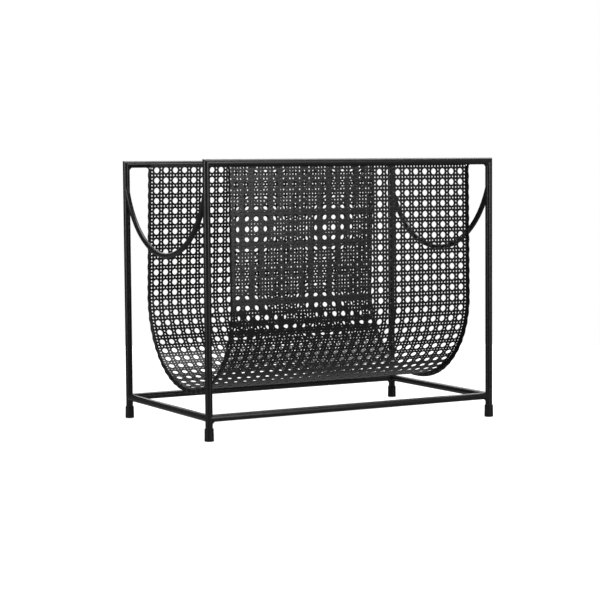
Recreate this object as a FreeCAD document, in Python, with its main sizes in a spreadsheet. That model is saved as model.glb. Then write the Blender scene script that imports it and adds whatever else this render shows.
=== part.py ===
"""Magazine rack: a welded round-bar frame that holds a U-shaped sling of sheet steel.

Frame: origin on the floor under the middle of the rack, +X along its length, +Y to the back, +Z up.
All lengths are in millimetres and all angles in degrees.
"""
import FreeCAD, Part
import math
import os

import Sketcher

Vector = FreeCAD.Vector
Rotation = FreeCAD.Rotation

# The driving sizes: alias, value, meaning.
SIZES = [
    ("rack_length", 370.0, "overall length, over the posts"),
    ("rack_width", 218.0, "overall width, over the posts"),
    ("rack_height", 300.0, "overall height, over the top rails"),
    ("bar_diameter", 8.0, "posts and rails"),
    ("base_rail_height", 24.5, "axis of the base rails above the floor"),
    ("bow_diameter", 6.0, "bar of the end bows"),
    ("bow_end_drop", 25.0, "bow axis at the posts, below the top rail axis"),
    ("bow_low_drop", 102.0, "lowest point of the bow axis, below the top rail axis"),
    ("sheet_thickness", 0.8, "sling sheet"),
    ("sheet_length", 306.4, "sling sheet along X, over the edge flanges"),
    ("sheet_floor_height", 42.7, "underside of the sling above the floor"),
    ("front_lean", 0.7, "angle by which the front wall leans out as it goes down"),
    ("back_lean", 2.5, "angle by which the back wall leans out as it goes down"),
    ("floor_radius", 134.0, "outer radius of the sling's floor"),
    ("corner_inset", 7.0, "side arc centres from the floor arc's centre line"),
    ("flange_width", 1.0, "turned-out edge flange along X"),
    ("flange_depth", 5.0, "edge flange, from the sheet's inner face outwards"),
    ("flange_rise", 4.2, "edge flange beyond the sheet's outer face"),
    ("flange_gap", 1.2, "edge flange ends below the underside of the top rail"),
    ("cap_height", 13.8, "foot cap"),
    ("cap_floor", 1.5, "foot cap under the post"),
    ("cap_mouth_wall", 0.9, "foot cap's wall at its mouth"),
    ("cap_base_wall", 1.15, "foot cap's wall above its rounded edge"),
    ("cap_edge_radius", 1.0, "rounded bottom edge of the cap"),
    ("base_weld_radius", 2.4, "nuggets under the base rails"),
    ("corner_weld_radius", 1.8, "nuggets in the top corners"),
    ("bow_weld_radius", 2.2, "nuggets at the ends of the bows"),
    ("bow_weld_shift", 1.0, "their centres beyond the line where bow and post meet"),
    ("seam_radius", 0.9, "seam along the sheet's top edges"),
    ("bead_radius", 2.2, "bead under the top rail at a sheet corner"),
    ("bead_length", 6.0, "length of that bead"),
]

# Places that several pieces share, as expressions on the driving sizes.
BAR_RADIUS = "(sizes.bar_diameter / 2)"
POST_X = "((sizes.rack_length - sizes.bar_diameter) / 2)"
POST_Y = "((sizes.rack_width - sizes.bar_diameter) / 2)"
RAIL_Z = "(sizes.rack_height - sizes.bar_diameter / 2)"
BASE_Z = "sizes.base_rail_height"
BOW_LOW_Z = f"({RAIL_Z} - sizes.bow_low_drop)"
BOW_SAG = "(sizes.bow_low_drop - sizes.bow_end_drop)"
BOW_RADIUS = f"(({POST_Y}^2 + {BOW_SAG}^2) / (2 * {BOW_SAG}))"
FLANGE_TOP_Z = f"({RAIL_Z} - {BAR_RADIUS} - sizes.flange_gap)"

SIDES_X = (("left", -1), ("right", 1))
SIDES_Y = (("front", -1), ("back", 1))

# Turns that lay a bar along X or Y, and a drawing into the YZ plane.
ALONG_X = Rotation(Vector(0, 1, 0), 90)
ALONG_Y = Rotation(Vector(1, 0, 0), -90)
SECTION_YZ = Rotation(Vector(1, 1, 1), 120)

doc = FreeCAD.newDocument("magazine_rack")
pieces = []


def make_sizes():
    """Spreadsheet of the driving sizes, one named cell each."""
    table = doc.addObject("Spreadsheet::Sheet", "sizes")
    for row, (alias, value, meaning) in enumerate(SIZES, start=1):
        table.set(f"A{row}", alias)
        table.set(f"B{row}", str(value))
        table.set(f"C{row}", meaning)
        table.setAlias(f"B{row}", alias)
    doc.recompute()
    return table


def size(alias):
    """Present value of one driving size."""
    return float(sizes.get(alias))


def place(obj, x="0", y="0", z="0", rotation=None):
    """Bind an object's position to expressions and turn it."""
    if rotation is not None:
        obj.Placement = FreeCAD.Placement(Vector(0, 0, 0), rotation)
    obj.setExpression("Placement.Base.x", x)
    obj.setExpression("Placement.Base.y", y)
    obj.setExpression("Placement.Base.z", z)
    return obj


def cylinder(name, radius, height, **where):
    """Round bar from its placement along its own Z."""
    bar = doc.addObject("Part::Cylinder", name)
    bar.setExpression("Radius", radius)
    bar.setExpression("Height", height)
    return place(bar, **where)


def cut(name, base, tools):
    """Base less every tool, one after the other."""
    result = base
    for number, tool in enumerate(tools, start=1):
        step = doc.addObject("Part::Cut", f"{name}_cut{number}")
        step.Base = result
        step.Tool = tool
        result = step
    return result


def piece(obj, name):
    """Name a finished sub-part and put it on the list of what is written out."""
    obj.Label = name
    pieces.append(obj)
    return obj


def group(name, solids):
    """Several like solids as one sub-part."""
    compound = doc.addObject("Part::Compound", f"{name}_group")
    compound.Links = solids
    return piece(compound, name)


def mitre_block(name, x, y, degrees):
    """Block whose near face is the mitre plane through a top corner's axis point.

    Its own X axis points away from what is kept, turned about Y by the given angle.
    """
    block = doc.addObject("Part::Box", name)
    side = "4 * sizes.bar_diameter"
    for edge in ("Length", "Width", "Height"):
        block.setExpression(edge, side)
    half = f"({side}) / 2"
    return place(
        block,
        x=f"{x} - sin({degrees} deg) * {half}",
        y=f"{y} - {half}",
        z=f"{RAIL_Z} - cos({degrees} deg) * {half}",
        rotation=Rotation(Vector(0, 1, 0), degrees),
    )


def make_posts():
    """Four upright bars, each mitred at 45 degrees to its top rail."""
    bars = {}
    posts = {}
    for side_y, sign_y in SIDES_Y:
        for side_x, sign_x in SIDES_X:
            key = (side_x, side_y)
            x = f"{sign_x} * {POST_X}"
            y = f"{sign_y} * {POST_Y}"
            name = f"post_{side_y}_{side_x}"
            bars[key] = cylinder(
                f"{name}_bar",
                BAR_RADIUS,
                "sizes.rack_height - sizes.cap_floor",
                x=x,
                y=y,
                z="sizes.cap_floor",
            )
            block = mitre_block(f"{name}_mitre", x, y, -90 + 45 * -sign_x)
            posts[key] = piece(cut(name, bars[key], [block]), name)
    return bars, posts


def make_top_rails():
    """Two long bars between the mitred posts."""
    bars = {}
    for side_y, sign_y in SIDES_Y:
        name = f"top_rail_{side_y}"
        y = f"{sign_y} * {POST_Y}"
        bars[side_y] = cylinder(
            f"{name}_bar",
            BAR_RADIUS,
            "sizes.rack_length",
            x="-sizes.rack_length / 2",
            y=y,
            z=RAIL_Z,
            rotation=ALONG_X,
        )
        blocks = []
        for side_x, sign_x in SIDES_X:
            x = f"{sign_x} * {POST_X}"
            blocks.append(mitre_block(f"{name}_mitre_{side_x}", x, y, 90 + 45 * -sign_x))
        piece(cut(name, bars[side_y], blocks), name)
    return bars


def make_base_rails(post_bars):
    """Four low bars, their ends coped to the posts; the short ones also to the long ones."""
    rails = {}
    for side_y, sign_y in SIDES_Y:
        name = f"base_rail_{side_y}"
        bar = cylinder(
            f"{name}_bar",
            BAR_RADIUS,
            f"2 * {POST_X}",
            x=f"-{POST_X}",
            y=f"{sign_y} * {POST_Y}",
            z=BASE_Z,
            rotation=ALONG_X,
        )
        posts = [post_bars[side_x, side_y] for side_x, _ in SIDES_X]
        rails[side_y] = piece(cut(name, bar, posts), name)
    for side_x, sign_x in SIDES_X:
        name = f"base_rail_{side_x}"
        bar = cylinder(
            f"{name}_bar",
            BAR_RADIUS,
            f"2 * {POST_Y}",
            x=f"{sign_x} * {POST_X}",
            y=f"-{POST_Y}",
            z=BASE_Z,
            rotation=ALONG_Y,
        )
        posts = [post_bars[side_x, side_y] for side_y, _ in SIDES_Y]
        long_rails = [rails[side_y] for side_y, _ in SIDES_Y]
        rails[side_x] = piece(cut(name, bar, posts + long_rails), name)
    return rails


def origin_plane(body, role):
    """One of a body's own origin planes or axes."""
    for feature in body.Origin.OriginFeatures:
        if feature.Role == role:
            return feature
    raise ValueError(role)


def name_constraints(sketch, wanted):
    """Give each listed constraint a name and bind it to an expression."""
    for index, name, expression in wanted:
        sketch.renameConstraint(index, name)
        sketch.setExpression(f"Constraints.{name}", expression)


def make_end_bows(post_bars):
    """A bar bent to an arc across each end, coped to the inner sides of its two posts."""
    bows = {}
    for side_x, sign_x in SIDES_X:
        name = f"end_bow_{side_x}"
        body = doc.addObject("PartDesign::Body", f"{name}_body")
        sketch = body.newObject("Sketcher::SketchObject", f"{name}_section")
        sketch.AttachmentSupport = (origin_plane(body, "XZ_Plane"), [""])
        sketch.MapMode = "FlatFace"
        low = size("rack_height") - size("bar_diameter") / 2 - size("bow_low_drop")
        start = Vector(sign_x * size("rack_length") / 2, low, 0)
        circle = sketch.addGeometry(Part.Circle(start, Vector(0, 0, 1), size("bow_diameter") / 2))
        axis = sketch.addGeometry(
            Part.LineSegment(start + Vector(0, size("rack_width") / 2, 0),
                             start + Vector(sign_x * size("bar_diameter"), size("rack_width") / 2, 0)),
            True,
        )
        sketch.addConstraint(Sketcher.Constraint("Horizontal", axis))
        sketch.addConstraint(Sketcher.Constraint("Vertical", circle, 3, axis, 1))
        radius = sketch.addConstraint(Sketcher.Constraint("Radius", circle, 1))
        across = sketch.addConstraint(Sketcher.Constraint("DistanceX", -1, 1, circle, 3, start.x))
        height = sketch.addConstraint(Sketcher.Constraint("DistanceY", -1, 1, circle, 3, start.y))
        rise = sketch.addConstraint(
            Sketcher.Constraint("DistanceY", circle, 3, axis, 1, size("rack_width") / 2))
        reach = sketch.addConstraint(Sketcher.Constraint("Distance", axis, size("bar_diameter")))
        name_constraints(sketch, [
            (radius, "bar_radius", "sizes.bow_diameter / 2"),
            (across, "post_line", f"{sign_x} * {POST_X}"),
            (height, "low_point", BOW_LOW_Z),
            (rise, "bend_radius", BOW_RADIUS),
            (reach, "axis_mark", "sizes.bar_diameter"),
        ])
        doc.recompute()
        bend = body.newObject("PartDesign::Revolution", f"{name}_bend")
        bend.Profile = sketch
        bend.ReferenceAxis = (sketch, ["Axis0"])
        bend.Midplane = True
        bend.setExpression("Angle", f"2 * asin({POST_Y} / {BOW_RADIUS})")
        doc.recompute()
        posts = [post_bars[side_x, side_y] for side_y, _ in SIDES_Y]
        bows[side_x] = piece(cut(name, body, posts), name)
    return bows


def make_sling_line():
    """Outer face of the sling as an open line in the YZ plane.

    Two leaning walls touch the inner sides of the top rails. Two equal side arcs and a flatter
    floor arc join them, tangent throughout. It is first drawn with upright walls.
    """
    sketch = doc.addObject("Sketcher::SketchObject", "sling_line")
    sketch.Placement = FreeCAD.Placement(Vector(0, 0, 0), SECTION_YZ)
    normal = Vector(0, 0, 1)
    wall = size("rack_width") / 2 - size("bar_diameter")
    top = size("rack_height") - size("bar_diameter") / 2
    low = size("sheet_floor_height")
    inset = size("corner_inset")
    side_radius = wall - inset
    floor_radius = size("floor_radius")
    gap = floor_radius - side_radius
    side_z = low + floor_radius - math.sqrt(gap**2 - inset**2)
    down = 1.5 * math.pi
    turn = math.asin(inset / gap)

    front = sketch.addGeometry(Part.LineSegment(Vector(-wall, top, 0), Vector(-wall, side_z, 0)))
    front_circle = Part.Circle(Vector(-inset, side_z, 0), normal, side_radius)
    front_arc = sketch.addGeometry(Part.ArcOfCircle(front_circle, math.pi, down - turn))
    floor_circle = Part.Circle(Vector(0, low + floor_radius, 0), normal, floor_radius)
    floor_arc = sketch.addGeometry(Part.ArcOfCircle(floor_circle, down - turn, down + turn))
    back_circle = Part.Circle(Vector(inset, side_z, 0), normal, side_radius)
    back_arc = sketch.addGeometry(Part.ArcOfCircle(back_circle, down + turn, 2 * math.pi))
    back = sketch.addGeometry(Part.LineSegment(Vector(wall, side_z, 0), Vector(wall, top, 0)))
    rail = wall + size("bar_diameter") / 2
    front_rail = sketch.addGeometry(Part.Point(Vector(-rail, top, 0)), True)
    back_rail = sketch.addGeometry(Part.Point(Vector(rail, top, 0)), True)
    lowest = sketch.addGeometry(Part.Point(Vector(0, low, 0)), True)

    def add(*terms):
        return sketch.addConstraint(Sketcher.Constraint(*terms))

    add("Tangent", front, 2, front_arc, 1)
    add("Tangent", front_arc, 2, floor_arc, 1)
    add("Tangent", floor_arc, 2, back_arc, 1)
    add("Tangent", back_arc, 2, back, 1)
    add("Equal", front_arc, back_arc)
    add("PointOnObject", lowest, 1, floor_arc)
    add("Vertical", lowest, 1, floor_arc, 3)
    name_constraints(sketch, [
        (add("DistanceX", -1, 1, front_rail, 1, -rail), "front_rail_y", f"-{POST_Y}"),
        (add("DistanceY", -1, 1, front_rail, 1, top), "front_rail_z", RAIL_Z),
        (add("DistanceX", -1, 1, back_rail, 1, rail), "back_rail_y", POST_Y),
        (add("DistanceY", -1, 1, back_rail, 1, top), "back_rail_z", RAIL_Z),
        (add("DistanceY", -1, 1, front, 1, top), "front_edge_z", RAIL_Z),
        (add("DistanceY", -1, 1, back, 2, top), "back_edge_z", RAIL_Z),
        (add("Angle", front, -math.pi / 2), "front_angle", "-90 - sizes.front_lean"),
        (add("Angle", back, math.pi / 2), "back_angle", "90 + sizes.back_lean"),
        (add("Distance", front_rail, 1, front, size("bar_diameter") / 2), "front_touch", BAR_RADIUS),
        (add("Distance", back_rail, 1, back, size("bar_diameter") / 2), "back_touch", BAR_RADIUS),
        (add("DistanceY", -1, 1, lowest, 1, low), "underside", "sizes.sheet_floor_height"),
        (add("DistanceX", front_arc, 3, floor_arc, 3, inset), "front_inset", "sizes.corner_inset"),
        (add("DistanceX", floor_arc, 3, back_arc, 3, inset), "back_inset", "sizes.corner_inset"),
        (add("Radius", floor_arc, floor_radius), "floor_bend", "sizes.floor_radius"),
    ])
    doc.recompute()
    return sketch


def offset_line(name, line, distance, fill):
    """Line moved outwards by a distance, or the strip between the two."""
    moved = doc.addObject("Part::Offset2D", name)
    moved.Source = line
    moved.Mode = "Skin"
    moved.Join = "Arc"
    moved.Fill = fill
    moved.setExpression("Value", distance)
    return moved


def extrude_x(name, section, length, start):
    """Section pushed along +X from a start place."""
    solid = doc.addObject("Part::Extrusion", name)
    solid.Base = section
    solid.DirMode = "Custom"
    solid.Dir = Vector(1, 0, 0)
    solid.Solid = True
    solid.setExpression("LengthFwd", length)
    return place(solid, x=start)


def make_sling(line):
    """Bent sheet with a narrow flange turned out along each curved end."""
    strip = offset_line("sheet_strip", line, "-sizes.sheet_thickness", True)
    flange_line = offset_line("flange_line", line, "sizes.flange_rise", False)
    flange_strip = offset_line("flange_strip", flange_line, "-sizes.flange_depth", True)
    doc.recompute()
    plate = extrude_x("sheet_plate", strip, "sizes.sheet_length", "-sizes.sheet_length / 2")
    top_clear = doc.addObject("Part::Box", "flange_top_clear")
    top_clear.setExpression("Length", "2 * sizes.sheet_length")
    top_clear.setExpression("Width", "2 * sizes.rack_width")
    top_clear.setExpression("Height", "sizes.rack_height")
    place(top_clear, x="-sizes.sheet_length", y="-sizes.rack_width", z=FLANGE_TOP_Z)
    parts = [plate]
    starts = {"left": "-sizes.sheet_length / 2", "right": "sizes.sheet_length / 2 - sizes.flange_width"}
    for side_x, start in starts.items():
        band = extrude_x(f"flange_band_{side_x}", flange_strip, "sizes.flange_width", start)
        parts.append(cut(f"flange_{side_x}", band, [top_clear]))
    sling = doc.addObject("Part::MultiFuse", "sling_fuse")
    sling.Shapes = parts
    return piece(sling, "sling_sheet")


def make_foot_cap(name, x, y):
    """Ferrule round a post's foot, with a closed floor and a rounded bottom edge."""
    body = doc.addObject("PartDesign::Body", f"{name}_body")
    sketch = body.newObject("Sketcher::SketchObject", f"{name}_profile")
    sketch.AttachmentSupport = (origin_plane(body, "XZ_Plane"), [""])
    sketch.MapMode = "FlatFace"
    bore = size("bar_diameter") / 2
    base = bore + size("cap_base_wall")
    mouth = bore + size("cap_mouth_wall")
    floor = size("cap_floor")
    height = size("cap_height")
    edge = size("cap_edge_radius")
    corners = [(0, 0), (base - edge, 0), (base, edge), (mouth, height),
               (bore, height), (bore, floor), (0, floor)]
    points = [Vector(across, up, 0) for across, up in corners]

    def add(*terms):
        return sketch.addConstraint(Sketcher.Constraint(*terms))

    lines = {}
    for index, start in enumerate(points):
        end = points[(index + 1) % len(points)]
        if index == 1:
            round_edge = Part.Circle(Vector(base - edge, edge, 0), Vector(0, 0, 1), edge)
            lines[index] = sketch.addGeometry(Part.ArcOfCircle(round_edge, -math.pi / 2, 0))
        else:
            lines[index] = sketch.addGeometry(Part.LineSegment(start, end))
    for index in lines:
        add("Coincident", lines[index], 2, lines[(index + 1) % len(lines)], 1)
    add("Coincident", lines[0], 1, -1, 1)
    for flat in (0, 3, 5):
        add("Horizontal", lines[flat])
    for upright in (4, 6):
        add("Vertical", lines[upright])
    add("Vertical", lines[1], 3, lines[0], 2)
    add("Horizontal", lines[1], 3, lines[1], 2)
    name_constraints(sketch, [
        (add("Radius", lines[1], edge), "edge", "sizes.cap_edge_radius"),
        (add("DistanceX", -1, 1, lines[1], 2, base), "base", f"{BAR_RADIUS} + sizes.cap_base_wall"),
        (add("DistanceX", -1, 1, lines[2], 2, mouth), "mouth", f"{BAR_RADIUS} + sizes.cap_mouth_wall"),
        (add("DistanceY", -1, 1, lines[2], 2, height), "height", "sizes.cap_height"),
        (add("DistanceX", -1, 1, lines[4], 2, bore), "bore", BAR_RADIUS),
        (add("DistanceY", -1, 1, lines[4], 2, floor), "floor", "sizes.cap_floor"),
    ])
    doc.recompute()
    turned = body.newObject("PartDesign::Revolution", f"{name}_turned")
    turned.Profile = sketch
    turned.ReferenceAxis = (sketch, ["V_Axis"])
    turned.Angle = 360
    place(body, x=x, y=y)
    return piece(body, name)


def make_foot_caps():
    """One ferrule under each post."""
    for side_y, sign_y in SIDES_Y:
        for side_x, sign_x in SIDES_X:
            name = f"foot_cap_{side_y}_{side_x}"
            make_foot_cap(name, f"{sign_x} * {POST_X}", f"{sign_y} * {POST_Y}")


def nugget(name, radius, x, y, z, neighbours):
    """Ball of weld metal less the pieces that it joins.

    Its own seam is turned to 45 degrees, clear of the planes in which bars touch it.
    """
    ball = doc.addObject("Part::Sphere", f"{name}_ball")
    ball.setExpression("Radius", radius)
    place(ball, x=x, y=y, z=z, rotation=Rotation(Vector(0, 0, 1), 45))
    return cut(name, ball, neighbours)


def make_base_welds(posts, rails):
    """Two nuggets at each post, under its long and its short base rail."""
    solids = []
    under = f"{BASE_Z} - {BAR_RADIUS}"
    for (side_x, side_y), post in posts.items():
        sign_x = dict(SIDES_X)[side_x]
        sign_y = dict(SIDES_Y)[side_y]
        inside_x = f"{sign_x} * ({POST_X} - {BAR_RADIUS})"
        inside_y = f"{sign_y} * ({POST_Y} - {BAR_RADIUS})"
        solids.append(nugget(
            f"base_weld_long_{side_y}_{side_x}", "sizes.base_weld_radius",
            inside_x, f"{sign_y} * {POST_Y}", under, [post, rails[side_y]]))
        solids.append(nugget(
            f"base_weld_short_{side_y}_{side_x}", "sizes.base_weld_radius",
            f"{sign_x} * {POST_X}", inside_y, under, [post, rails[side_x]]))
    group("welds_base", solids)


def make_corner_welds(posts, rail_bars):
    """A nugget in each inner corner between a post and its top rail."""
    solids = []
    for (side_x, side_y), post in posts.items():
        sign_x = dict(SIDES_X)[side_x]
        sign_y = dict(SIDES_Y)[side_y]
        solids.append(nugget(
            f"corner_weld_{side_y}_{side_x}", "sizes.corner_weld_radius",
            f"{sign_x} * ({POST_X} - {BAR_RADIUS})", f"{sign_y} * {POST_Y}",
            f"{RAIL_Z} - {BAR_RADIUS}", [post, rail_bars[side_y]]))
    group("welds_top_corners", solids)


def make_bow_welds(posts, bows):
    """Nuggets above and below each end of a bow, where its surface runs into the post."""
    centre_z = f"({BOW_LOW_Z} + {BOW_RADIUS})"
    inside_y = f"({POST_Y} - {BAR_RADIUS})"
    solids = []
    for (side_x, side_y), post in posts.items():
        sign_x = dict(SIDES_X)[side_x]
        sign_y = dict(SIDES_Y)[side_y]
        for end, outwards, shift in (("below", "+", "-"), ("above", "-", "+")):
            reach = f"({BOW_RADIUS} {outwards} sizes.bow_diameter / 2)"
            solids.append(nugget(
                f"bow_weld_{end}_{side_y}_{side_x}", "sizes.bow_weld_radius",
                f"{sign_x} * {POST_X}", f"{sign_y} * {inside_y}",
                f"{centre_z} - sqrt({reach}^2 - {inside_y}^2) {shift} sizes.bow_weld_shift",
                [post, bows[side_x]]))
    group("welds_end_bows", solids)


def make_sling_welds(rail_bars, sling):
    """A thin seam along each top edge of the sheet, and a bead under the rail at each sheet corner."""
    beads = []
    for side_y, sign_y in SIDES_Y:
        inside_y = f"{sign_y} * ({POST_Y} - {BAR_RADIUS})"
        neighbours = [rail_bars[side_y], sling]
        seam = cylinder(
            f"seam_{side_y}_bar",
            "sizes.seam_radius",
            "sizes.sheet_length",
            x="-sizes.sheet_length / 2",
            y=inside_y,
            z=RAIL_Z,
            rotation=ALONG_X,
        )
        seam_cut = cut(f"seam_{side_y}", seam, neighbours)
        keep = doc.addObject("Part::Box", f"seam_{side_y}_keep")
        keep.setExpression("Length", "sizes.sheet_length")
        keep.setExpression("Width", "2 * sizes.bar_diameter")
        keep.setExpression("Height", "2 * sizes.seam_radius")
        place(keep, x="-sizes.sheet_length / 2", y=f"{inside_y} - sizes.bar_diameter", z=RAIL_Z)
        upper = doc.addObject("Part::Common", f"seam_{side_y}_upper")
        upper.Base = seam_cut
        upper.Tool = keep
        piece(upper, f"sling_seam_{side_y}")
        for side_x, sign_x in SIDES_X:
            start = "-sizes.sheet_length / 2" if sign_x < 0 else "sizes.sheet_length / 2 - sizes.bead_length"
            bead = cylinder(
                f"bead_{side_y}_{side_x}_bar",
                "sizes.bead_radius",
                "sizes.bead_length",
                x=start,
                y=f"{inside_y} + {sign_y} * (sizes.bead_radius - sizes.sheet_thickness / 2)",
                z=f"{RAIL_Z} - {BAR_RADIUS}",
                rotation=ALONG_X,
            )
            beads.append(cut(f"bead_{side_y}_{side_x}", bead, neighbours))
    group("welds_sling_corners", beads)


def check():
    """Stop if anything failed to build."""
    doc.recompute()
    for obj in doc.Objects:
        if "Invalid" in obj.State or "Error" in obj.State:
            raise RuntimeError(f"{obj.Name} failed: {obj.State}")
    for obj in pieces:
        if obj.Shape.isNull() or not obj.Shape.isValid() or not obj.Shape.Solids:
            raise RuntimeError(f"{obj.Label} has no valid solid")


def export():
    """Write one STEP file per sub-part."""
    os.makedirs("parts", exist_ok=True)
    for obj in pieces:
        obj.Shape.exportStep(f"parts/{obj.Label}.step")


sizes = make_sizes()
post_bars, posts = make_posts()
rail_bars = make_top_rails()
base_rails = make_base_rails(post_bars)
bows = make_end_bows(post_bars)
sling = make_sling(make_sling_line())
make_foot_caps()
make_base_welds(posts, base_rails)
make_corner_welds(posts, rail_bars)
make_bow_welds(posts, bows)
make_sling_welds(rail_bars, sling)
check()
export()
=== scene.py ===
"""Magazine rack: looks for a welded round-bar frame with a sling of perforated sheet.

Metres, in the frame of the CAD model: origin on the floor under the middle, +X along the rack, +Z up.
"""

import math

import bpy
from bpy.props import FloatProperty, FloatVectorProperty, IntProperty, PointerProperty
from mathutils import Matrix, Vector, geometry


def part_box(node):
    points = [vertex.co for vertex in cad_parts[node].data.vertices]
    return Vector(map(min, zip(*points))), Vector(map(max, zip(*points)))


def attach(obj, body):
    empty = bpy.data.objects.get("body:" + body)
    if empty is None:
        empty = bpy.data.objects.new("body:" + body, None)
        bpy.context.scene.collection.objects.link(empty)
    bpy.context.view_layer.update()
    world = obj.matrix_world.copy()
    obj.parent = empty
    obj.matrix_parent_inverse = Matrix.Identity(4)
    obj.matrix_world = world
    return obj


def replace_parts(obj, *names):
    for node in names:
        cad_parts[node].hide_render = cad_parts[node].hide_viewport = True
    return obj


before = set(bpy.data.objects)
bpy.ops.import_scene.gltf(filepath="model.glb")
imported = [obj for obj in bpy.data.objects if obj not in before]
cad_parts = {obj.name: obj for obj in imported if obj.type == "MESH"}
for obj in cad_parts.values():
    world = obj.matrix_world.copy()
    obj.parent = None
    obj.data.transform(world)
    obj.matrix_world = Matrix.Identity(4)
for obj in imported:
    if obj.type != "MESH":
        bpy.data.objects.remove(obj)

bl_info = {
    "name": "Magazine Rack",
    "version": (1, 0, 0),
    "blender": (4, 5, 0),
    "location": "3D View > Sidebar > Rack",
    "description": "Builds the perforated sling, welds and finishes of a magazine rack",
    "category": "Object",
}

BODY = "root"
MM = 0.001
WHITE = (1.0, 1.0, 1.0, 1.0)

BAR_NODES = (
    "post_front_left", "post_front_right", "post_back_left", "post_back_right",
    "top_rail_front", "top_rail_back",
    "base_rail_front", "base_rail_back", "base_rail_left", "base_rail_right",
    "end_bow_left", "end_bow_right",
)
SEAM_NODES = ("sling_seam_front", "sling_seam_back")
CAP_NODES = (
    "foot_cap_front_left", "foot_cap_front_right", "foot_cap_back_left", "foot_cap_back_right",
)

# Where the bars run: the axes of the posts and rails, from the CAD boxes.
POST_LOW, POST_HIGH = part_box("post_front_right")
BAR_RADIUS = (POST_HIGH.x - POST_LOW.x) / 2
POST_X = (POST_HIGH.x + POST_LOW.x) / 2
POST_Y = -(POST_HIGH.y + POST_LOW.y) / 2
RAIL_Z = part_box("top_rail_front")[1].z - BAR_RADIUS
BASE_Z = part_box("base_rail_front")[1].z - BAR_RADIUS
BOW_LOW, BOW_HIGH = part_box("end_bow_right")
BOW_BAR_RADIUS = (BOW_HIGH.x - BOW_LOW.x) / 2
BOW_END_DROP = 25 * MM  # from the top rails' axes to the ends of the bows

# The sling's outer line in the YZ plane, as in the CAD model: wall, arc, floor arc, arc, wall.
SHEET_END_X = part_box("sling_sheet")[1].x
FLOOR_RADIUS = 134 * MM
SIDE_RADIUS = 98.26 * MM
SIDE_CENTRE_Z = 141.652 * MM
FLOOR_CENTRE_Y = 2.382 * MM
FLOOR_CENTRE_Z = 176.7 * MM
CORNER_INSET = 7 * MM
FRONT_LEAN = math.radians(0.7)
BACK_LEAN = math.radians(2.5)

# Mesh of the sling: sides of its round holes, and how near two points count as one.
LARGE_SIDES = 16
SMALL_SIDES = 6
CORNER_SIDES = 8
SLACK = 1e-7
MERGE = 1e-9

# The flange's ends stay clear of the top rails; its mesh has a ring of points at every step.
FLANGE_GAP = 1.2 * MM
FLANGE_STEP = 1.2 * MM

# Weld beads: the leg of each kind, and half the angle round the bar that it covers.
BASE_LEG, BASE_ARC = 2.7 * MM, 1.15
TOP_LEG, TOP_ARC = 3.0 * MM, 1.0
BOW_LEG, BOW_ARC = 2.2 * MM, 1.1
CORNER_LEG, CORNER_HALF_WIDTH = 2.8 * MM, 1.3 * MM
CORNER_FROM_POST = 1.4 * MM  # the corner beads' middle, inwards from the top rails' axes
WELD_STEPS = 22
WELD_CURVE = 6

# Finishes, where they differ from the coat of the bars.
FINISHES = {
    "sheet": {"roughness": 0.33, "gloss": 0.38, "peel_scale": 620.0, "peel_depth": 0.08 * MM},
    "caps": {"roughness": 0.5, "gloss": 0.3, "colour": (0.005, 0.005, 0.005),
             "peel_scale": 1500.0, "peel_depth": 0.12 * MM, "spread": 0.12},
    "welds": {"peel_scale": 900.0, "peel_depth": 0.22 * MM, "spread": 0.2},
}

# Scales of the noise that every finish has, in cycles per metre.
CLOUD_SCALE = 38.0
GRAIN_SCALE = 2600.0

# Light: the overhead light's direction, and the boxes' places, settings and sizes. Boxes face AIM.
OVERHEAD_FROM = (0.42, 0.2, 0.9)
OVERHEAD_ANGLE = math.radians(42)
LIGHT_BOXES = (
    ("box_front", (0.38, -1.65, 0.75), "side_light", 0.6, 1.4),
    ("box_left", (-1.75, -0.25, 0.75), "side_light", 0.7, 1.4),
    ("box_back", (0.9, 1.6, 1.1), "back_light", 2.0, 0.9),
)
AIM = Vector((0, 0, 0.15))
# Height of a direction where the glow under the floor's line starts and where it is full.
GLOW_START, GLOW_FULL = -0.12, -0.34
FLOOR_SIDES = 64

# Camera: a long lens in front and to the left, just below the top rails' height.
CAMERA_PLACE = (-0.993292, -1.755334, 0.286206)
CAMERA_AZIMUTH = math.radians(-27.607)
CAMERA_ELEVATION = math.radians(3.894)
CAMERA_ROLL = math.radians(-0.555)
CAMERA_LENS = 104.437
CAMERA_SHIFT = (0.0833, -0.0163)


class Value:
    """A shader value that Python's arithmetic works on."""

    def __init__(self, graph, socket):
        self.graph = graph
        self.socket = socket

    def math(self, operation, first, second):
        """Math node on two values or numbers."""
        return self.graph.value("ShaderNodeMath", 0, {"operation": operation}, {0: first, 1: second})

    def __add__(self, other):
        return self.math("ADD", self, other)

    def __radd__(self, other):
        return self.math("ADD", other, self)

    def __sub__(self, other):
        return self.math("SUBTRACT", self, other)

    def __rsub__(self, other):
        return self.math("SUBTRACT", other, self)

    def __mul__(self, other):
        return self.math("MULTIPLY", self, other)

    def __rmul__(self, other):
        return self.math("MULTIPLY", other, self)


class Graph:
    """A node tree under construction."""

    def __init__(self, tree):
        self.tree = tree
        tree.nodes.clear()

    def node(self, kind, settings=None, inputs=None):
        """One node: its settings first, then the values or links of its sockets."""
        made = self.tree.nodes.new(kind)
        for name, value in (settings or {}).items():
            setattr(made, name, value)
        for name, value in (inputs or {}).items():
            if isinstance(value, Value):
                self.tree.links.new(value.socket, made.inputs[name])
            else:
                made.inputs[name].default_value = value
        return made

    def value(self, kind, output, settings=None, inputs=None):
        """A node's output as a value for arithmetic or for another socket."""
        return Value(self, self.node(kind, settings, inputs).outputs[output])


def new_graph(material):
    """Empty node tree of a new material."""
    material.use_nodes = True
    return Graph(material.node_tree)


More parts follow.
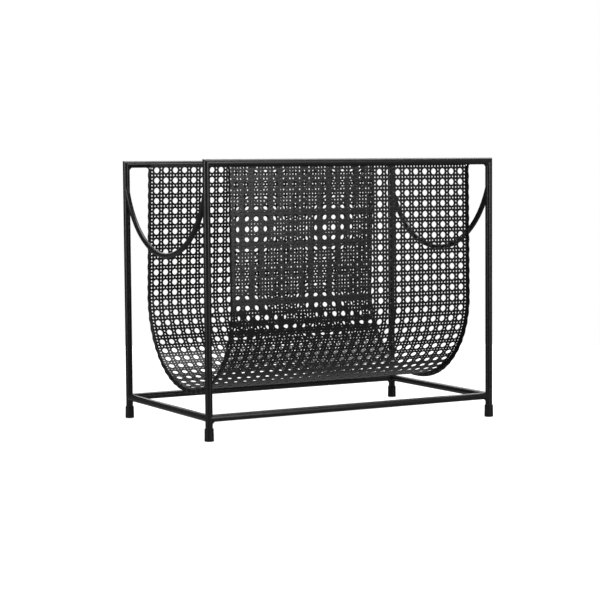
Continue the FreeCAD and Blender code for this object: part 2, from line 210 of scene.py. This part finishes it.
def noise(graph, place, scale, detail=2.0, roughness=0.5):
    """Noise between 0 and 1 over a place in metres."""
    return graph.value(
        "ShaderNodeTexNoise", "Fac", {"noise_dimensions": "3D"},
        {"Vector": place, "Scale": scale, "Detail": detail, "Roughness": roughness},
    )


def mixed_colour(graph, factor, first, second):
    """Colour between two others; the Mix node's colour sockets are 6, 7 and output 2."""
    return graph.value("ShaderNodeMix", 2, {"data_type": "RGBA"}, {0: factor, 6: first, 7: second})


def coat_material(name, coat):
    """Black finish: orange peel in the gloss, faint clouds in colour and roughness."""
    material = bpy.data.materials.new(name)
    graph = new_graph(material)
    place = graph.value("ShaderNodeTexCoord", "Object")
    clouds = noise(graph, place, CLOUD_SCALE, 3.0, 0.6)
    grains = noise(graph, place, GRAIN_SCALE, 1.0)
    peel = noise(graph, place, coat.peel_scale, 2.0, 0.45)
    dark = tuple(level * (1 - coat.spread) for level in coat.colour) + (1.0,)
    light = tuple(level * (1 + coat.spread) for level in coat.colour) + (1.0,)
    bump = graph.value(
        "ShaderNodeBump", "Normal", None,
        {"Strength": 1.0, "Distance": coat.peel_depth, "Height": peel + grains * 0.25},
    )
    surface = graph.value(
        "ShaderNodeBsdfPrincipled", "BSDF", None,
        {"Base Color": mixed_colour(graph, clouds * 0.6 + grains * 0.4, dark, light),
         "Roughness": coat.roughness - 0.06 + clouds * 0.08 + grains * 0.05,
         "Normal": bump, "Specular IOR Level": coat.gloss, "Metallic": 0.0},
    )
    graph.node("ShaderNodeOutputMaterial", None, {"Surface": surface})
    return material


class RackCoat(bpy.types.PropertyGroup):
    """Finish of one group of pieces."""

    colour: FloatVectorProperty(
        name="Colour", description="Colour of the finish", subtype="COLOR",
        default=(0.0065, 0.0063, 0.0066), min=0.0, max=1.0,
    )
    roughness: FloatProperty(
        name="Roughness", description="Mean roughness of the finish", subtype="FACTOR",
        default=0.3, min=0.0, max=1.0,
    )
    gloss: FloatProperty(
        name="Gloss", description="Strength of the reflection seen head on", subtype="FACTOR",
        default=0.45, min=0.0, max=1.0,
    )
    peel_scale: FloatProperty(
        name="Peel Scale", description="Bumps of the orange peel per metre", default=520.0,
    )
    peel_depth: FloatProperty(
        name="Peel Depth", description="Height of the orange peel",
        subtype="DISTANCE", default=0.09 * MM,
    )
    spread: FloatProperty(
        name="Spread", description="How far the colour strays from its mean", subtype="FACTOR",
        default=0.18, min=0.0, max=1.0,
    )


class RackSling(bpy.types.PropertyGroup):
    """Perforation and edge flanges of the sling."""

    pitch: FloatProperty(
        name="Pitch", description="Distance between large holes, both ways",
        subtype="DISTANCE", default=12 * MM,
    )
    columns: IntProperty(name="Columns", description="Columns of large holes", default=25)
    rows: IntProperty(name="Rows", description="Rows of large holes", default=52)
    first_row: FloatProperty(
        name="First Row", description="First row of large holes, below the front top edge",
        subtype="DISTANCE", default=11.35 * MM,
    )
    large_hole: FloatProperty(
        name="Large Hole", description="Diameter of the large holes",
        subtype="DISTANCE", default=6.65 * MM,
    )
    small_hole: FloatProperty(
        name="Small Hole", description="Diameter of the small holes",
        subtype="DISTANCE", default=1.98 * MM,
    )
    small_offset: FloatProperty(
        name="Small Offset", description="Small holes from the line of large-hole centres",
        subtype="DISTANCE", default=2.0 * MM,
    )
    thickness: FloatProperty(
        name="Thickness", description="Thickness of the sheet",
        subtype="DISTANCE", default=0.8 * MM,
    )
    flange_rise: FloatProperty(
        name="Flange Rise", description="How far the edge flange stands out from the sheet",
        subtype="DISTANCE", default=4.2 * MM,
    )
    flange_thickness: FloatProperty(
        name="Flange Thickness", description="Thickness of the edge flange",
        subtype="DISTANCE", default=1.0 * MM,
    )
    flange_wave: FloatProperty(
        name="Flange Wave", description="How far the flange's face waves out and in beside the holes",
        subtype="DISTANCE", default=0.35 * MM,
    )
    fold_radius: FloatProperty(
        name="Fold Radius", description="Outer radius of the fold between sheet and flange",
        subtype="DISTANCE", default=1.3 * MM,
    )


class RackStage(bpy.types.PropertyGroup):
    """Floor, light and camera."""

    floor_colour: FloatVectorProperty(
        name="Floor Colour", description="Colour of the floor", subtype="COLOR",
        default=(0.5, 0.5, 0.5), min=0.0, max=1.0,
    )
    floor_radius: FloatProperty(
        name="Floor Radius", description="Radius of the round floor", subtype="DISTANCE", default=0.9,
    )
    floor_glow: FloatProperty(
        name="Floor Glow", description="Light that the floor gives off by itself", default=0.85,
    )
    surround: FloatProperty(
        name="Surround", description="Brightness of the room around the rack", default=0.13,
    )
    under_glow: FloatProperty(
        name="Under Glow", description="Extra brightness of the room below the floor's line", default=0.16,
    )
    top_light: FloatProperty(
        name="Top Light", description="Strength of the broad light overhead", default=1.9,
    )
    side_light: FloatProperty(
        name="Side Light", description="Power of the upright light boxes", default=14.0,
        unit="POWER",
    )
    back_light: FloatProperty(
        name="Back Light", description="Power of the light box behind and above the rack", default=20.0,
        unit="POWER",
    )


class RackSettings(bpy.types.PropertyGroup):
    """Everything that a user would change."""

    bars: PointerProperty(type=RackCoat)
    sheet: PointerProperty(type=RackCoat)
    caps: PointerProperty(type=RackCoat)
    welds: PointerProperty(type=RackCoat)
    sling: PointerProperty(type=RackSling)
    stage: PointerProperty(type=RackStage)


def polar(centre_y, centre_z, radius, angle):
    """Point of a circle in the YZ plane."""
    return centre_y + radius * math.cos(angle), centre_z + radius * math.sin(angle)


class SlingLine:
    """The sling's outer line in the YZ plane, by the length along the middle of the sheet from the front top.

    A run is (y, z, radius, angle, length). An arc has its centre and its first angle, and a straight run has
    its start, no radius and the angle of its outward direction.
    """

    def __init__(self, thickness):
        self.half = thickness / 2
        tilt = math.atan2(SIDE_CENTRE_Z - FLOOR_CENTRE_Z, CORNER_INSET)
        front, back = math.pi - FRONT_LEAN, math.tau + BACK_LEAN
        arcs = (
            (FLOOR_CENTRE_Y - CORNER_INSET, SIDE_CENTRE_Z, SIDE_RADIUS, front, math.pi - tilt),
            (FLOOR_CENTRE_Y, FLOOR_CENTRE_Z, FLOOR_RADIUS, math.pi - tilt, math.tau + tilt),
            (FLOOR_CENTRE_Y + CORNER_INSET, SIDE_CENTRE_Z, SIDE_RADIUS, math.tau + tilt, back),
        )
        front_y, front_z = polar(*arcs[0][:3], front)
        back_y, back_z = polar(*arcs[2][:3], back)
        wall = (RAIL_Z - front_z) / math.cos(FRONT_LEAN)
        self.runs = [(front_y + wall * math.sin(front), front_z - wall * math.cos(front), 0, front, wall)]
        for centre_y, centre_z, radius, start, end in arcs:
            self.runs.append((centre_y, centre_z, radius, start, (end - start) * (radius - self.half)))
        self.runs.append((back_y, back_z, 0, back, (RAIL_Z - back_z) / math.cos(BACK_LEAN)))
        self.length = sum(run[4] for run in self.runs)

    def at(self, along):
        """Point and outward direction at a length along the line."""
        rest = along
        for number, (y, z, radius, angle, length) in enumerate(self.runs):
            if rest <= length or number == len(self.runs) - 1:
                break
            rest -= length
        if radius:
            angle += rest / (radius - self.half)
            y, z = polar(y, z, radius, angle)
        else:
            y, z = y - rest * math.sin(angle), z + rest * math.cos(angle)
        return y, z, math.cos(angle), math.sin(angle)


def hole(x, along, radius, sides, turn):
    """A round hole of a flat patch as the points of its rim."""
    return [
        (x + radius * math.cos(turn + step * math.tau / sides),
         along + radius * math.sin(turn + step * math.tau / sides))
        for step in range(sides)
    ]


def rim_points(low, high, holes):
    """Rim points inside a rectangle, the hole that owns each, and the rim edges off the rectangle's sides."""
    points, owners, edges = [], [], []
    for number, rim in enumerate(holes):
        indices = []
        for point in rim:
            inside = all(low[k] - SLACK <= point[k] <= high[k] + SLACK for k in (0, 1))
            indices.append(len(points) if inside else None)
            if inside:
                points.append(point)
                owners.append(number)
        for first, second in zip(indices, indices[1:] + indices[:1]):
            if first is None or second is None:
                continue
            along_side = any(
                abs(points[first][k] - side) < SLACK and abs(points[second][k] - side) < SLACK
                for k in (0, 1) for side in (low[k], high[k])
            )
            if not along_side:
                edges.append((first, second))
    return points, owners, edges


def side_edges(low, high, points, owners):
    """Edges along a rectangle's sides, except where a hole is open to the side."""
    edges = []
    for axis in (0, 1):
        for side in (low[axis], high[axis]):
            chain = sorted(
                (point[1 - axis], index) for index, point in enumerate(points)
                if abs(point[axis] - side) < SLACK
            )
            for (_, first), (_, second) in zip(chain, chain[1:]):
                if owners[first] is None or owners[first] != owners[second]:
                    edges.append((first, second))
    return edges


def patch(low, high, holes):
    """Triangles of a flat rectangle with holes, some of which its sides cut through rim points."""
    centres = [tuple(sum(point[k] for point in rim) / len(rim) for k in (0, 1)) for rim in holes]
    reach = [math.dist(rim[0], centre) * math.cos(math.pi / len(rim)) for rim, centre in zip(holes, centres)]

    def solid(point):
        return all(math.dist(point, centre) > far for centre, far in zip(centres, reach))

    points, owners, edges = rim_points(low, high, holes)
    for corner in ((low[0], low[1]), (high[0], low[1]), (high[0], high[1]), (low[0], high[1])):
        if solid(corner):
            points.append(corner)
            owners.append(None)
    edges += side_edges(low, high, points, owners)
    made = geometry.delaunay_2d_cdt([Vector(point) for point in points], edges, [], 0, MERGE)
    triangles = []
    for face in made[2]:
        middle = sum((made[0][index] for index in face), Vector((0, 0))) / len(face)
        if solid(middle):
            triangles.append(tuple(face))
    return [tuple(point) for point in made[0]], triangles


class SheetMesh:
    """Points and triangles of the whole sling before it is bent, as (x, along) pairs."""

    def __init__(self):
        self.points = []
        self.index = {}
        self.triangles = []

    def add(self, points, triangles, x, along):
        """One patch at a place, joined to what is already there."""
        here = []
        for px, py in points:
            key = (round((px + x) / MM, 3), round((py + along) / MM, 3))
            if key not in self.index:
                self.index[key] = len(self.points)
                self.points.append((px + x, py + along))
            here.append(self.index[key])
        self.triangles += [tuple(here[k] for k in triangle) for triangle in triangles]

    def rims(self):
        """Edges that only one triangle uses, in that triangle's order."""
        seen = {}
        for a, b, c in self.triangles:
            for edge in ((a, b), (b, c), (c, a)):
                seen[edge] = True
        return [edge for edge in seen if (edge[1], edge[0]) not in seen]


def beside_holes(sling):
    """Small holes on the two sides of a cell, beside its large hole."""
    return [
        hole(x, along, sling.small_hole / 2, SMALL_SIDES, math.pi / 2)
        for x in (-sling.pitch / 2, sling.pitch / 2) for along in (-sling.small_offset, sling.small_offset)
    ]


def row_holes(sling, along):
    """Small holes on the line between two rows of cells, over the width of one cell."""
    radius, offset, half = sling.small_hole / 2, sling.small_offset, sling.pitch / 2
    return (
        [hole(x, along, radius, SMALL_SIDES, 0) for x in (-offset, offset)]
        + [hole(x, along, radius, CORNER_SIDES, 0) for x in (-half, half)]
    )


def lay_row(mesh, sling, edge, low, high, holes, along):
    """One row of cells from side to side, with the margins at both ends; low and high are along the sheet."""
    half = sling.pitch / 2
    side = sling.columns * half
    margin = edge - side
    cell = patch((-half, low), (half, high), holes)
    for column in range(sling.columns):
        mesh.add(*cell, (column - (sling.columns - 1) / 2) * sling.pitch, along)
    mesh.add(*patch((half, low), (half + margin, high), holes), side - half, along)
    mesh.add(*patch((-half - margin, low), (-half, high), holes), half - side, along)


def flat_sling(sling, edge, length):
    """The perforated sheet laid flat: rows of cells, and strips along the two top edges."""
    mesh = SheetMesh()
    half = sling.pitch / 2
    large = hole(0, 0, sling.large_hole / 2, LARGE_SIDES, 0)
    above = row_holes(sling, -half)
    for row in range(sling.rows):
        below = row_holes(sling, half) if row < sling.rows - 1 else []
        holes = [large] + beside_holes(sling) + above + below
        lay_row(mesh, sling, edge, -half, half, holes, sling.first_row + row * sling.pitch)
    lay_row(mesh, sling, edge, -sling.first_row, -half, above, sling.first_row)
    start = sling.first_row + (sling.rows - 0.5) * sling.pitch
    side = sling.columns * half
    xs = [-edge] + [-side + step * sling.pitch for step in range(sling.columns + 1)] + [edge]
    for left, right in zip(xs, xs[1:]):
        corners = [(left, start), (right, start), (right, length), (left, length)]
        mesh.add(corners, [(0, 1, 2), (0, 2, 3)], 0, 0)
    return mesh


def flange_section(sling, edge, wave):
    """Outline of the fold and flange as (x, rise from the sheet's outer face), for the right end."""
    outer, thick, tip = sling.fold_radius, sling.flange_thickness, sling.flange_rise
    inner = max(outer - thick, 0.25 * MM)
    lap = 0.5 * MM  # how far the section reaches into the sheet
    shoulder, bevel, dip = 0.4 * MM, 0.15 * MM, 0.1 * MM  # rounding of the tip
    far = edge + outer + sling.flange_wave * wave
    fold_rise = outer - sling.thickness
    points = [(edge - lap, -sling.thickness)]
    for part in range(5):
        angle = -math.pi / 2 + part * math.pi / 8
        points.append((far - outer + outer * math.cos(angle), fold_rise + outer * math.sin(angle)))
    points += [
        (far, tip - shoulder), (far - bevel, tip - dip), (far - thick / 2, tip),
        (far - thick + bevel, tip - dip), (far - thick, tip - shoulder),
    ]
    for part in range(4):
        angle = -part * math.pi / 6
        points.append((far - thick - inner + inner * math.cos(angle), inner + inner * math.sin(angle)))
    points.append((edge - lap, 0.0))
    return points


def loft(sections, mirrored=False):
    """Vertices and faces of a closed skin over rings of points, with both ends capped."""
    ring = len(sections[0])
    vertices = [tuple(point) for section in sections for point in section]
    last = len(vertices) - ring
    faces = [tuple(reversed(range(ring))), tuple(range(last, last + ring))]
    for start in range(0, last, ring):
        for turn in range(ring):
            a, b = start + turn, start + (turn + 1) % ring
            faces.append((a, b, b + ring, a + ring))
    if mirrored:
        faces = [tuple(reversed(face)) for face in faces]
    return vertices, faces


def join(parts):
    """Several lists of vertices and faces as one."""
    vertices, faces = [], []
    for more, sides in parts:
        faces += [tuple(index + len(vertices) for index in face) for face in sides]
        vertices += more
    return vertices, faces


def new_piece(name, vertices, faces, material, slot):
    """A mesh piece that rides on the rack's body and takes a finish."""
    mesh = bpy.data.meshes.new(name)
    mesh.from_pydata(vertices, [], faces)
    mesh.validate()
    mesh.shade_smooth()
    mesh.set_sharp_from_angle(angle=math.radians(40))
    mesh.materials.append(material)
    piece = bpy.data.objects.new(name, mesh)
    bpy.context.scene.collection.objects.link(piece)
    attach(piece, BODY)
    return piece


def finish_nodes(names, material):
    """Give carried-over CAD nodes a material."""
    for name in names:
        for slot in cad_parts[name].material_slots:
            slot.material = material


class RACK_OT_stage(bpy.types.Operator):
    """Floor, soft light and camera"""

    bl_idname = "rack.stage"
    bl_label = "Stage"

    def execute(self, context):
        stage = context.scene.rack.stage
        self.floor(context.scene, stage)
        self.room(context.scene, stage)
        self.lights(context.scene, stage)
        self.camera(context.scene)
        return {"FINISHED"}

    def floor(self, scene, stage):
        """Pale round floor that doesn't show in the gloss of the coat."""
        mesh = bpy.data.meshes.new("floor")
        rim = hole(0, 0, stage.floor_radius, FLOOR_SIDES, 0)
        mesh.from_pydata([(x, y, 0.0) for x, y in rim], [], [tuple(range(FLOOR_SIDES))])
        material = bpy.data.materials.new("floor_paint")
        graph = new_graph(material)
        surface = graph.value(
            "ShaderNodeBsdfPrincipled", "BSDF", None,
            {"Base Color": tuple(stage.floor_colour) + (1.0,), "Roughness": 0.9, "Specular IOR Level": 0.0,
             "Emission Color": WHITE, "Emission Strength": stage.floor_glow},
        )
        graph.node("ShaderNodeOutputMaterial", None, {"Surface": surface})
        mesh.materials.append(material)
        floor = bpy.data.objects.new("floor", mesh)
        floor.visible_diffuse = False
        floor.visible_glossy = False
        scene.collection.objects.link(floor)

    def room(self, scene, stage):
        """White to look at, dim as a source of light, a little brighter from below."""
        scene.world = bpy.data.worlds.new("room")
        graph = new_graph(scene.world)
        toward = graph.value("ShaderNodeTexCoord", "Generated")
        height = graph.value("ShaderNodeSeparateXYZ", "Z", None, {0: toward})
        glow = graph.value(
            "ShaderNodeMapRange", "Result", None,
            {"Value": height, "From Min": GLOW_START, "From Max": GLOW_FULL,
             "To Min": 0.0, "To Max": stage.under_glow},
        )
        dim = stage.surround + glow
        seen = graph.value("ShaderNodeLightPath", "Is Camera Ray")
        level = dim + seen * (1.0 - dim)
        surface = graph.value("ShaderNodeBackground", "Background", None, {"Color": WHITE, "Strength": level})
        graph.node("ShaderNodeOutputWorld", None, {"Surface": surface})
        scene.view_settings.view_transform = "Standard"
        scene.view_settings.look = "None"

    def lights(self, scene, stage):
        """A broad light overhead, upright boxes at the front and left, and one behind."""
        sun = bpy.data.lights.new("overhead", "SUN")
        sun.energy = stage.top_light
        sun.angle = OVERHEAD_ANGLE
        self.hang(scene, sun, (0, 0, 3), Vector(OVERHEAD_FROM))
        for name, place, power, width, height in LIGHT_BOXES:
            box = bpy.data.lights.new(name, "AREA")
            box.shape = "RECTANGLE"
            box.size = width
            box.size_y = height
            box.energy = getattr(stage, power)
            self.hang(scene, box, place, Vector(place) - AIM)

    def hang(self, scene, light, place, back):
        """Put a light at a place, shining away from a direction."""
        lamp = bpy.data.objects.new(light.name, light)
        lamp.location = place
        lamp.visible_camera = False
        lamp.rotation_euler = back.to_track_quat("Z", "Y").to_euler()
        scene.collection.objects.link(lamp)

    def camera(self, scene):
        """Camera in front and to the left."""
        data = bpy.data.cameras.new("camera")
        data.sensor_width = 36.0
        data.lens = CAMERA_LENS
        data.shift_x, data.shift_y = CAMERA_SHIFT
        data.clip_start = 0.05
        data.clip_end = 100.0
        turn = Matrix.Rotation(CAMERA_AZIMUTH, 3, "Z")
        turn = turn @ Matrix.Rotation(math.pi / 2 - CAMERA_ELEVATION, 3, "X")
        turn = turn @ Matrix.Rotation(CAMERA_ROLL, 3, "Z")
        camera = bpy.data.objects.new("camera", data)
        camera.matrix_world = Matrix.Translation(CAMERA_PLACE) @ turn.to_4x4()
        scene.collection.objects.link(camera)
        scene.camera = camera


class RACK_OT_bars(bpy.types.Operator):
    """Finish on the posts, rails, end bows and seams"""

    bl_idname = "rack.bars"
    bl_label = "Bars"

    def execute(self, context):
        finish_nodes(BAR_NODES + SEAM_NODES, coat_material("bar_coat", context.scene.rack.bars))
        return {"FINISHED"}


class RACK_OT_caps(bpy.types.Operator):
    """Finish on the foot caps"""

    bl_idname = "rack.caps"
    bl_label = "Foot Caps"

    def execute(self, context):
        finish_nodes(CAP_NODES, coat_material("cap_plastic", context.scene.rack.caps))
        return {"FINISHED"}


class RACK_OT_sling(bpy.types.Operator):
    """Perforated sheet of the sling, with its flanges"""

    bl_idname = "rack.sling"
    bl_label = "Sling Sheet"

    def execute(self, context):
        sling = context.scene.rack.sling
        line = SlingLine(sling.thickness)
        edge = SHEET_END_X - sling.fold_radius
        material = coat_material("sheet_coat", context.scene.rack.sheet)
        vertices, faces = self.bent_sheet(sling, line, edge)
        sheet = new_piece("sling_perforated_sheet", vertices, faces, material, "sheet_coat")
        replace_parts(sheet, "sling_sheet")
        for name, side in (("left", -1), ("right", 1)):
            vertices, faces = self.flange(sling, line, edge, side)
            new_piece("sling_flange_" + name, vertices, faces, material, "sheet_coat")
        return {"FINISHED"}

    def bent_sheet(self, sling, line, edge):
        """Vertices and faces of the perforated sheet: outer face, inner face and the rims between them."""
        flat = flat_sling(sling, edge, line.length)
        outer, inner = [], []
        for x, along in flat.points:
            y, z, out_y, out_z = line.at(along)
            outer.append((x, y, z))
            inner.append((x, y - sling.thickness * out_y, z - sling.thickness * out_z))
        count = len(outer)
        faces = [(a, c, b) for a, b, c in flat.triangles]
        faces += [(a + count, b + count, c + count) for a, b, c in flat.triangles]
        faces += [(a, b, b + count, a + count) for a, b in flat.rims()]
        return outer + inner, faces

    def flange(self, sling, line, edge, side):
        """Vertices and faces of the flange turned out along one curved end, with its rounded fold."""
        start = BAR_RADIUS + FLANGE_GAP
        run = line.length - 2 * start
        steps = int(run / FLANGE_STEP)
        sections = []
        for step in range(steps + 1):
            along = start + run * step / steps
            wave = -math.cos((along - sling.first_row) / sling.pitch * math.tau)
            y, z, out_y, out_z = line.at(along)
            section = flange_section(sling, edge, wave)
            sections.append([(side * x, y + rise * out_y, z + rise * out_z) for x, rise in section])
        return loft(sections, mirrored=side < 0)


def bar_meets_post(corner, away, post, offset):
    """Where a line along a bar's surface, at an offset from the bar's axis, comes out of the post."""
    flat_away = away - away.dot(post) * post
    flat_offset = offset - offset.dot(post) * post
    a, b = flat_away.dot(flat_away), flat_away.dot(flat_offset)
    c = flat_offset.dot(flat_offset) - BAR_RADIUS ** 2
    run = (-b + math.sqrt(b * b - a * c)) / a
    return Vector(corner) + offset + run * away


def weld_section(meet, away, post, outward, leg):
    """Ring of a bead: a hollow curve from the bar to the post, and a root inside both."""
    on_bar, on_post = meet + leg * away, meet + leg * post
    pull = meet.lerp((on_bar + on_post) / 2, 0.62)
    section = []
    for step in range(WELD_CURVE + 1):
        t = step / WELD_CURVE
        section.append((1 - t) ** 2 * on_bar + 2 * t * (1 - t) * pull + t * t * on_post)
    return section + [meet - 0.25 * leg * (away + outward)]


def weld_fillet(corner, away, post, bar_radius, leg, arc):
    """Bead in the angle between a bar and a post, swept round the bar.

    The bar's axis leaves the post's axis at corner and runs along away; post points along the post to the
    side that the bead lies on. Leg is the bead's leg at its middle, arc the half angle that it covers.
    """
    away, post = Vector(away).normalized(), Vector(post).normalized()
    side = away.cross(post).normalized()
    low = side.cross(away).normalized()
    sections = []
    for step in range(WELD_STEPS + 1):
        share = 2 * step / WELD_STEPS - 1
        outward = math.cos(share * arc) * low + math.sin(share * arc) * side
        meet = bar_meets_post(corner, away, post, bar_radius * outward)
        taper = math.sqrt(max(0.0, 1 - share ** 2) + 0.02)
        ripple = 1 + 0.1 * math.sin(share * 19)
        sections.append(weld_section(meet, away, post, outward, leg * taper * ripple))
    return loft(sections)


def corner_bead(x_side, y_side):
    """Bead in the angle between a top rail's underside and the end of the sheet's flange."""
    under = RAIL_Z - BAR_RADIUS
    root = 1.0 * MM  # how far the bead reaches into the sheet and the rail
    arc = 5
    sections = []
    for share in (-1.0, -0.6, 0.6, 1.0):
        size = CORNER_LEG * (1.0 if abs(share) < 1 else 0.7)
        y = y_side * (POST_Y - CORNER_FROM_POST + share * CORNER_HALF_WIDTH)
        outline = []
        for turn in range(arc + 1):
            angle = math.pi / 2 * (1 + turn / arc)
            outline.append((size * (1 + math.cos(angle)), size * (math.sin(angle) - 1)))
        outline += [(-root, -CORNER_LEG), (-root, root), (size, root)]
        sections.append([(x_side * (SHEET_END_X + x), y, under + rise) for x, rise in outline])
    return loft(sections, mirrored=x_side * y_side < 0)


class RACK_OT_welds(bpy.types.Operator):
    """Weld beads between the bars, and at the corners of the sheet"""

    bl_idname = "rack.welds"
    bl_label = "Welds"

    def execute(self, context):
        base, top, bows, corners = [], [], [], []
        bow_z, slope = self.bow_end()
        for x in (-1, 1):
            for y in (-1, 1):
                foot = (x * POST_X, y * POST_Y, BASE_Z)
                head = (x * POST_X, y * POST_Y, RAIL_Z)
                bow = (x * POST_X, y * POST_Y, bow_z)
                for away in ((-x, 0, 0), (0, -y, 0)):
                    base.append(weld_fillet(foot, away, (0, 0, -1), BAR_RADIUS, BASE_LEG, BASE_ARC))
                top.append(weld_fillet(head, (-x, 0, 0), (0, 0, -1), BAR_RADIUS, TOP_LEG, TOP_ARC))
                corners.append(corner_bead(x, y))
                for up in (-1, 1):
                    away = (0, -y, -slope)
                    bows.append(weld_fillet(bow, away, (0, 0, up), BOW_BAR_RADIUS, BOW_LEG, BOW_ARC))
        material = coat_material("weld_coat", context.scene.rack.welds)
        for name, parts, node in (
            ("weld_beads_base", base, "welds_base"),
            ("weld_beads_top_corners", top, "welds_top_corners"),
            ("weld_beads_end_bows", bows, "welds_end_bows"),
            ("weld_beads_sling_corners", corners, "welds_sling_corners"),
        ):
            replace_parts(new_piece(name, *join(parts), material, "frame_coat"), node)
        return {"FINISHED"}

    def bow_end(self):
        """Height and slope of the bow's axis where it meets the posts."""
        low = BOW_LOW.z + BOW_BAR_RADIUS
        drop = RAIL_Z - BOW_END_DROP - low
        radius = (POST_Y ** 2 + drop ** 2) / (2 * drop)
        return low + drop, math.tan(math.asin(POST_Y / radius))


class RACK_PT_panel(bpy.types.Panel):
    """Steps and sizes of the rack"""

    bl_label = "Magazine Rack"
    bl_idname = "RACK_PT_panel"
    bl_space_type = "VIEW_3D"
    bl_region_type = "UI"
    bl_category = "Rack"

    def draw(self, context):
        for operator in STEPS:
            self.layout.operator(operator.bl_idname)
        for group in RackSettings.__annotations__:
            settings = getattr(context.scene.rack, group)
            box = self.layout.box()
            box.label(text=group.capitalize())
            for name in settings.__annotations__:
                box.prop(settings, name)


STEPS = (RACK_OT_stage, RACK_OT_bars, RACK_OT_caps, RACK_OT_sling, RACK_OT_welds)
GROUPS = (RackCoat, RackSling, RackStage, RackSettings)


def register():
    for item in GROUPS + STEPS + (RACK_PT_panel,):
        bpy.utils.register_class(item)
    bpy.types.Scene.rack = PointerProperty(type=RackSettings)


def unregister():
    del bpy.types.Scene.rack
    for item in reversed(GROUPS + STEPS + (RACK_PT_panel,)):
        bpy.utils.unregister_class(item)


def main():
    """Build everything."""
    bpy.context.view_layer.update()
    register()
    for group, values in FINISHES.items():
        for name, value in values.items():
            setattr(getattr(bpy.context.scene.rack, group), name, value)
    bpy.ops.rack.stage()
    bpy.ops.rack.bars()
    bpy.ops.rack.caps()
    bpy.ops.rack.sling()
    bpy.ops.rack.welds()
    bpy.context.view_layer.update()


if __name__ == "__main__":
    main()
